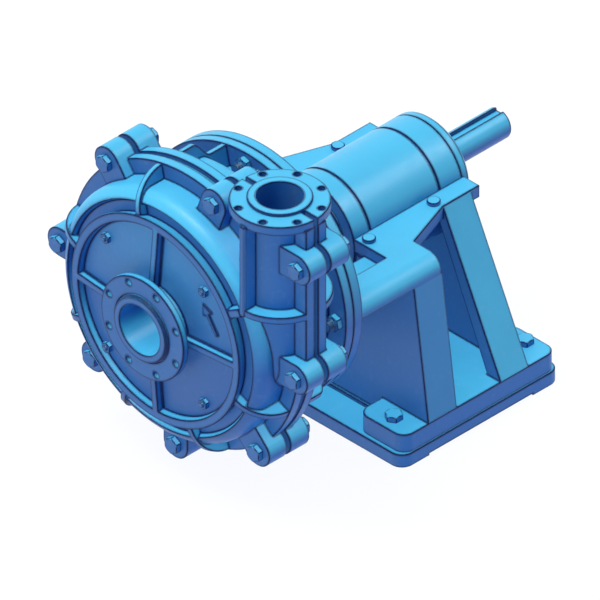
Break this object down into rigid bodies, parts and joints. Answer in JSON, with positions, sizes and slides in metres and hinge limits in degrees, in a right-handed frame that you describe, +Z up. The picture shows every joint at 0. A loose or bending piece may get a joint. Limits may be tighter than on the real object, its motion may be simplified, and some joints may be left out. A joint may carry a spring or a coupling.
{
  "type": "slurry pump",
  "caption": "Horizontal end-suction slurry pump with a split lined casing, top side discharge and a bearing cartridge held in a cast pedestal.",
  "frame": {"origin": "middle of the base's underside, under the middle of the whole pump's box", "axes": "+Y runs along the shaft from the suction flange to the drive end, +X points to the discharge branch's side, and +Z is up"},
  "size_m": [0.6498, 0.8866, 0.6725],
  "materials": {
    "casting_paint": "satin blue paint on cast iron",
    "fastener_paint": "satin blue paint on steel fasteners",
    "wear_iron": "cast wear-resistant iron, painted where it shows",
    "shaft_steel": "machined steel with a blue coat",
    "bearing_steel": "ground bearing steel",
    "bronze": "machined bronze",
    "packing": "braided square packing"
  },
  "bodies": {
    "pump_frame": {"sole_plate": "casting_paint", "bearing_frame": "casting_paint", "frame_plate": "casting_paint", "cover_plate": "casting_paint", "volute_liner": "wear_iron", "throatbush": "wear_iron", "frame_plate_liner": "wear_iron", "stuffing_box": "casting_paint", "packing_ring_1": "packing", "lantern_ring": "bronze", "packing_ring_2": "packing", "packing_ring_3": "packing", "gland_stud_left": "fastener_paint", "gland_stud_right": "fastener_paint", "adjusting_screw": "fastener_paint", "cover_bolt_1": "fastener_paint", "cover_bolt_2": "fastener_paint", "cover_bolt_3": "fastener_paint", "cover_bolt_4": "fastener_paint", "cover_bolt_5": "fastener_paint", "cover_bolt_6": "fastener_paint", "cover_bolt_7": "fastener_paint", "cover_bolt_8": "fastener_paint", "cover_nut_1": "fastener_paint", "cover_nut_2": "fastener_paint", "cover_nut_3": "fastener_paint", "cover_nut_4": "fastener_paint", "cover_nut_5": "fastener_paint", "cover_nut_6": "fastener_paint", "cover_nut_7": "fastener_paint", "cover_nut_8": "fastener_paint", "frame_stud_1": "fastener_paint", "frame_stud_2": "fastener_paint", "frame_stud_3": "fastener_paint", "frame_stud_4": "fastener_paint", "foot_bolt_1": "fastener_paint", "foot_bolt_2": "fastener_paint", "foot_bolt_3": "fastener_paint", "foot_bolt_4": "fastener_paint", "clamp_bolt_1": "fastener_paint", "clamp_bolt_2": "fastener_paint", "clamp_bolt_3": "fastener_paint", "clamp_bolt_4": "fastener_paint"},
    "bearing_assembly": {"bearing_housing": "casting_paint", "wet_end_cover": "casting_paint", "drive_end_cover": "casting_paint", "wet_bearing_cup": "bearing_steel", "drive_bearing_cup": "bearing_steel"},
    "rotor": {"shaft": "shaft_steel", "shaft_sleeve": "shaft_steel", "impeller": "wear_iron", "wet_bearing_cone": "bearing_steel", "drive_bearing_cone": "bearing_steel"},
    "wet_cage": {"wet_roller_cage": "bronze"},
    "drive_cage": {"drive_roller_cage": "bronze"},
    "front_nut": {"adjusting_nut_front": "fastener_paint"},
    "rear_nut": {"adjusting_nut_rear": "fastener_paint"},
    "gland_follower": {"gland": "casting_paint", "gland_nut_left": "fastener_paint", "gland_nut_right": "fastener_paint"}
  },
  "joints": [
    {"name": "bearing_slide", "type": "slide", "parent": "pump_frame", "child": "bearing_assembly", "axis": [0, 1, 0], "range_m": [-0.003, 0.003]},
    {"name": "shaft_spin", "type": "hinge", "parent": "bearing_assembly", "child": "rotor", "pos_m": [-0.0079, -0.44325, 0.3468], "axis": [0, -1, 0], "continuous": true},
    {"name": "wet_cage_spin", "type": "hinge", "parent": "bearing_assembly", "child": "wet_cage", "pos_m": [-0.0079, -0.44325, 0.3468], "axis": [0, -1, 0], "continuous": true},
    {"name": "drive_cage_spin", "type": "hinge", "parent": "bearing_assembly", "child": "drive_cage", "pos_m": [-0.0079, -0.44325, 0.3468], "axis": [0, -1, 0], "continuous": true},
    {"name": "front_nut_turn", "type": "hinge", "parent": "bearing_assembly", "child": "front_nut", "pos_m": [-0.0079, -0.44325, 0.2168], "axis": [0, 1, 0], "range_deg": [-545, 545]},
    {"name": "rear_nut_turn", "type": "hinge", "parent": "bearing_assembly", "child": "rear_nut", "pos_m": [-0.0079, -0.44325, 0.2168], "axis": [0, 1, 0], "range_deg": [-545, 545]},
    {"name": "gland_slide", "type": "slide", "parent": "pump_frame", "child": "gland_follower", "axis": [0, 1, 0], "range_m": [0, 0.025]}
  ],
  "couplings": [
    {"joint": "wet_cage_spin", "follows": "shaft_spin", "ratio": 0.44},
    {"joint": "drive_cage_spin", "follows": "shaft_spin", "ratio": 0.44},
    {"joint": "front_nut_turn", "follows": "bearing_slide", "rad_per_m": 3141.6},
    {"joint": "rear_nut_turn", "follows": "bearing_slide", "rad_per_m": 3141.6}
  ]
}
